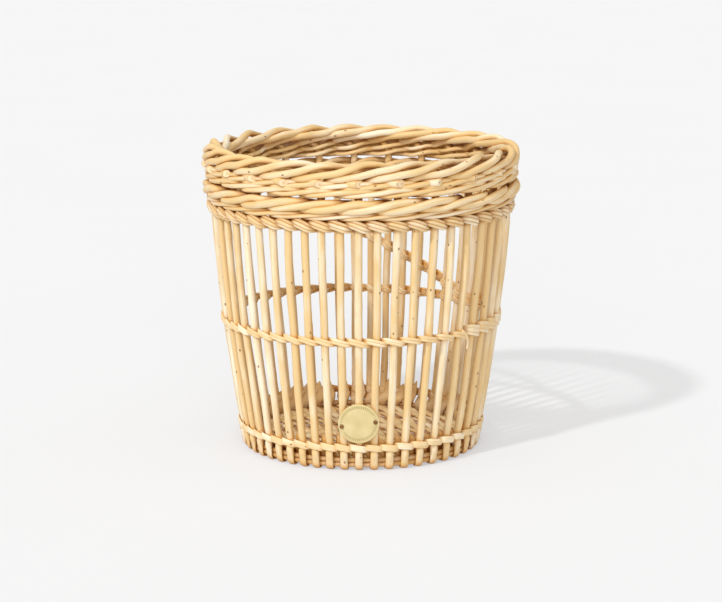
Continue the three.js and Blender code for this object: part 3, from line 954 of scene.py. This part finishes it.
def wale_strand(z, half, start):
    """One rod of a wale, all the way round, thicker in the middle of each stroke."""
    points, tones, sizes = [], [], []
    for stroke in range(UPRIGHT_COUNT // STROKE_UPRIGHTS):
        tone, size = random.normal(0, TONE_SPREAD), random.uniform(*WALE_SIZES)
        for passed, out, up in WALE_STROKE:
            place = 2 * (start + stroke * STROKE_UPRIGHTS + passed)
            reach = out * half + STAKE_HALF_DEPTH * max(-1.0, min(1.0, FACE_REACH * out))
            jitter = random.normal(0, WALE_SPREAD, 2) * half
            points.append(on_wall(place, reach + jitter[0], z + up * half + jitter[1]))
            tones.append(tone)
            sizes.append(size * (0.88 + 0.16 * max(0.0, out)))
    points = np.array(points)
    path = smooth_path(points, WALE_STEP, closed=True)
    controls, share = matched(points, path)
    grown = half * np.interp(share, controls, sizes)
    tint = np.interp(share, controls, tones)
    return sweep(path, grown, grown, (0, 0, 1), closed=True, tint=tint)


def wale(name, z, half, replaced):
    """Three rods that each start one upright after the last."""
    rods = [wale_strand(z, half, start) for start in range(STROKE_UPRIGHTS)]
    piece(name, rods, rod_willow, [replaced])


THICK_Z, THICK_HALF_HEIGHT = row_heights("thick_wale")
THICK_ROD_HALF = THICK_HALF_HEIGHT / 2 + 0.35 * MM
PAIR_Z, _ = row_heights("thin_pair_row")
PAIR_ROD_HALF = 1.65 * MM
THIN_LOW, THIN_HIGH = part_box("thin_wales")
THIN_ROD_HALF = 2.1 * MM
THIN_ROW_HALF = 1.7 * THIN_ROD_HALF

wale("thick_wale_rods", THICK_Z, THICK_ROD_HALF, "thick_wale")
wale("thin_pair_rods", PAIR_Z, PAIR_ROD_HALF, "thin_pair_row")
wale("thin_wale_rods_1", THIN_LOW.z + THIN_ROW_HALF, THIN_ROD_HALF, "thin_wales")
wale("thin_wale_rods_2", THIN_HIGH.z - THIN_ROW_HALF, THIN_ROD_HALF, "thin_wales")

# ---------------------------------------------------------------------------------------------
# Tag
# ---------------------------------------------------------------------------------------------

TAG_SEGMENTS = 240
TICK_EVERY = 4
TAG_HALF = 0.45 * MM
TICK_DEPTH = 0.3 * MM
TICK_BAND = (0.78, 0.9)
TAG_RINGS = (0.12, 0.3, 0.5, 0.68, 0.76, 0.78, 0.84, 0.9, 0.92, 0.96, 0.985, 1.0)
SOFT_EDGE = 0.96  # the share of the radius where the edge starts to round off
GROOVED = 0.955  # the share of the radius where grooves end
HOLE_HALF = 1.15 * MM
DRILL_SIDES = 24


def middle_of(node):
    """The middle of a CAD node's box."""
    low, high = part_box(node)
    return np.array((low + high) / 2)


def tag_axes():
    """The tag's middle, radius, and right, up and front directions, from its CAD disc and pins."""
    points = np.array([vertex.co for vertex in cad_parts["tag"].data.vertices])
    middle = (points.min(axis=0) + points.max(axis=0)) / 2
    right = unit(middle_of("tag_pin_right") - middle_of("tag_pin_left"))
    front = np.linalg.svd(points - points.mean(axis=0))[2][2]
    front = front if front[1] < 0 else -front
    right = unit(right - right @ front * front)
    radius = np.linalg.norm(points - middle, axis=1).max()
    return middle, radius, right, np.cross(front, right), front


def tag_mesh(radius):
    """A thin disc in its own plane with a softened edge and a band of fine ticks near its rim."""
    turn = 2 * math.pi * np.arange(TAG_SEGMENTS) / TAG_SEGMENTS
    ticked = np.arange(TAG_SEGMENTS) % TICK_EVERY == 0
    points = []
    for way in (1, -1):
        for share in TAG_RINGS:
            edge = TAG_HALF * (1 - 0.5 * max(0.0, (share - SOFT_EDGE) / (1 - SOFT_EDGE)) ** 2)
            depth = np.full(TAG_SEGMENTS, edge)
            if way > 0 and TICK_BAND[0] <= share <= TICK_BAND[1]:
                depth = depth - TICK_DEPTH * ticked
            ring = [radius * share * np.cos(turn), radius * share * np.sin(turn), way * depth]
            points.append(np.stack(ring, axis=-1))
    points.append(np.array([[0, 0, TAG_HALF], [0, 0, -TAG_HALF]]))

    here = np.arange(TAG_SEGMENTS)
    after = (here + 1) % TAG_SEGMENTS
    back = len(TAG_RINGS) * TAG_SEGMENTS  # where the back's points start
    rim = back - TAG_SEGMENTS
    centre = np.full(TAG_SEGMENTS, 2 * back)
    faces = []
    for side in (0, back):
        for low in range(side, side + rim, TAG_SEGMENTS):
            high = low + TAG_SEGMENTS
            quad = np.stack([low + here, high + here, high + after, low + after]).T
            faces += (quad[:, ::-1] if side else quad).tolist()
    edge = [rim + here, back + rim + here, back + rim + after, rim + after]
    for corners in (edge, [centre, here, after], [centre + 1, back + after, back + here]):
        faces += np.stack(corners).T.tolist()
    mesh = bpy.data.meshes.new("tag")
    mesh.from_pydata(np.vstack(points).tolist(), [], faces)
    return mesh


def tag_drill(place):
    """A cylinder through the tag."""
    turn = 2 * math.pi * np.arange(DRILL_SIDES) / DRILL_SIDES
    ring = np.stack([place + HOLE_HALF * np.cos(turn), HOLE_HALF * np.sin(turn)], axis=-1)
    points = [(x, y, z) for z in (-3 * TAG_HALF, 3 * TAG_HALF) for x, y in ring]
    low, high = np.arange(DRILL_SIDES), np.arange(DRILL_SIDES, 2 * DRILL_SIDES)
    sides = np.stack([low, np.roll(low, -1), np.roll(high, -1), high]).T.tolist()
    mesh = bpy.data.meshes.new("drill")
    mesh.from_pydata(points, [], [*sides, low[::-1].tolist(), high.tolist()])
    return linked("drill", mesh)


def brass_tag():
    """The tag: a ticked disc with a hole drilled for each pin."""
    middle, radius, right, up, front = tag_axes()
    made = linked("brass_tag", tag_mesh(radius))
    for node in ("tag_pin_left", "tag_pin_right"):
        drill = tag_drill((middle_of(node) - middle) @ right)
        cut = made.modifiers.new("hole", "BOOLEAN")
        cut.object = drill
        cut.solver = "EXACT"
        bpy.context.view_layer.update()
        evaluated = made.evaluated_get(bpy.context.evaluated_depsgraph_get())
        pierced = bpy.data.meshes.new_from_object(evaluated)
        made.modifiers.clear()
        made.data = pierced
        bpy.data.objects.remove(drill)
    flat = np.array([vertex.co for vertex in made.data.vertices])
    # Where the grooves are, for the brass's painted shade in them.
    groove = fall(np.abs(flat[:, 2]), TAG_HALF, TICK_DEPTH)
    groove *= np.hypot(flat[:, 0], flat[:, 1]) < GROOVED * radius
    attribute = made.data.attributes.new("groove", "FLOAT", "POINT")
    attribute.data.foreach_set("value", groove.astype(np.float32))
    points = flat @ np.array([right, up, front]) + middle
    made.data.vertices.foreach_set("co", points.astype(np.float32).ravel())
    made.data.shade_smooth()
    made.data.set_sharp_from_angle(angle=math.radians(35))
    made.data.materials.append(brass)
    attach(made, "root")
    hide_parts("tag")


PIN_HALF = 0.55 * MM
PIN_POINT_HALF = 0.35 * MM
PIN_DOME = ((0.96, 0.08), (0.82, 0.17), (0.55, 0.25), (0.25, 0.28), (0, 0.29))


def brass_pin(node):
    """A round-headed pin, from its point to its domed head."""
    front = tag_axes()[-1]
    points = np.array([vertex.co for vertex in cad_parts[node].data.vertices])
    reach = points @ front
    middle = middle_of(node)
    middle = middle - middle @ front * front
    head_half = np.linalg.norm(points - middle - np.outer(reach, front), axis=1).max()
    back, face = reach.min(), reach.max()
    stops = [back + 0.4 * MM, back + 2 * MM, face - 0.75 * MM, face - 0.62 * MM, face - 0.45 * MM]
    halves = np.array([PIN_POINT_HALF, PIN_HALF, PIN_HALF, 0.9 * head_half, head_half])
    path = middle + np.outer(stops, front)
    made = sweep(path, halves, halves, (0, 0, 1), corners=20, ends=(ROUND_END, PIN_DOME))
    name = "brass_pin_" + node.rsplit("_", 1)[1]
    piece(name, [made], dark_brass, [node])


brass_tag()
brass_pin("tag_pin_left")
brass_pin("tag_pin_right")

# ---------------------------------------------------------------------------------------------
# Floor, light and camera
# ---------------------------------------------------------------------------------------------

CAMERA_PLACE = Vector((0.0, -1.838, 0.499))
CAMERA_AIM = Vector((0.0, 0.0, 0.1245))
LENS = 106.7
SUNS = (  # the way the light goes, its strength and its angle in degrees
    ("key", (0.76, 0.87, -1.0), 1.5, 3.5),
    ("front_fill", (0.05, 1.0, -0.38), 0.88, 40),
    ("top_fill", (0.0, 0.15, -1.0), 0.5, 60),
)
WORLD_COLOUR = (1.0, 0.91, 0.78, 1.0)
WORLD_STRENGTH = 0.64
FLOOR_REACH = 30
FLOOR_TONES = ((0.3, (0.447, 0.447, 0.45, 1)), (0.7, (0.453, 0.453, 0.456, 1)))
FLOOR_GLOW = (0.862, 0.918, 1.0, 1.0)
FLOOR_GLOW_STRENGTH = 0.436


def set_stage():
    """A paper floor that glows enough to stay nearly white outside the shadow."""
    n = Nodes("paper_floor")
    where = n.add("TexCoord").outputs["Object"]
    n.set(n.shader, "Base_Color", n.ramp(n.noise(where, (3, 3, 3), 2.0), FLOOR_TONES))
    n.set(n.shader, "Emission_Color", FLOOR_GLOW)
    n.set(n.shader, "Emission_Strength", FLOOR_GLOW_STRENGTH)
    n.set(n.shader, "Roughness", 0.9)
    n.set(n.shader, "Specular_IOR_Level", 0.1)
    mesh = bpy.data.meshes.new("floor")
    low, high = -FLOOR_REACH, FLOOR_REACH
    corners = [(low, low, 0), (high, low, 0), (high, high, 0), (low, high, 0)]
    mesh.from_pydata(corners, [], [(0, 1, 2, 3)])
    mesh.materials.append(n.material)
    linked("floor", mesh)


def turn_to(made, way):
    """Turns a lamp or the camera to look a way."""
    made.rotation_mode = "QUATERNION"
    made.rotation_quaternion = Vector(way).to_track_quat("-Z", "Y")


def set_light():
    world = bpy.data.worlds.new("studio")
    world.use_nodes = True
    background = world.node_tree.nodes["Background"]
    background.inputs["Color"].default_value = WORLD_COLOUR
    background.inputs["Strength"].default_value = WORLD_STRENGTH
    bpy.context.scene.world = world
    for name, way, strength, angle in SUNS:
        sun = bpy.data.lights.new(name, "SUN")
        sun.energy = strength
        sun.angle = math.radians(angle)
        turn_to(linked(name, sun), way)


def set_camera():
    data = bpy.data.cameras.new("camera")
    data.sensor_width = 36
    data.lens = LENS
    camera = linked("camera", data)
    camera.location = CAMERA_PLACE
    turn_to(camera, CAMERA_AIM - CAMERA_PLACE)
    bpy.context.scene.camera = camera


set_stage()
set_light()
set_camera()
bpy.context.scene.view_settings.view_transform = "Standard"
